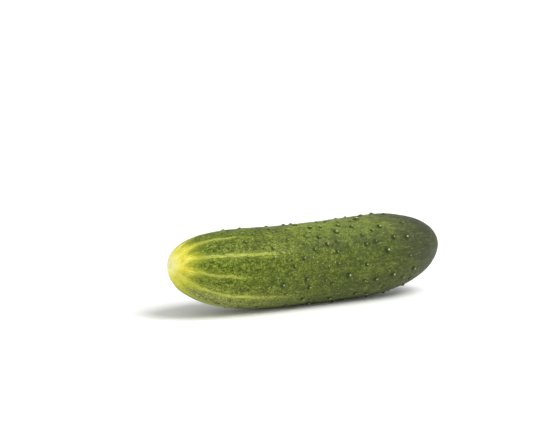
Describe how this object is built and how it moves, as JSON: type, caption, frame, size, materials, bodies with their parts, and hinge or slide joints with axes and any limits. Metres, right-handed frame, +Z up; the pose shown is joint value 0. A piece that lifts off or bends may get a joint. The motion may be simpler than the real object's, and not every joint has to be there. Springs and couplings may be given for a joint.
{
  "type": "cucumber",
  "caption": "Short prickly cucumber, gently bent, lying on its belly, with pale stripes from the blossom end and warts over the rest of its green skin.",
  "frame": {"origin": "on the surface it lies on, under the middle of its length and width", "axes": "+X runs along the length from the blossom end to the stem end, +Z is up"},
  "size_m": [0.1381, 0.038, 0.0377],
  "materials": {
    "skin": "satin"
  },
  "bodies": {
    "root": {"cucumber": "skin"}
  },
  "joints": []
}
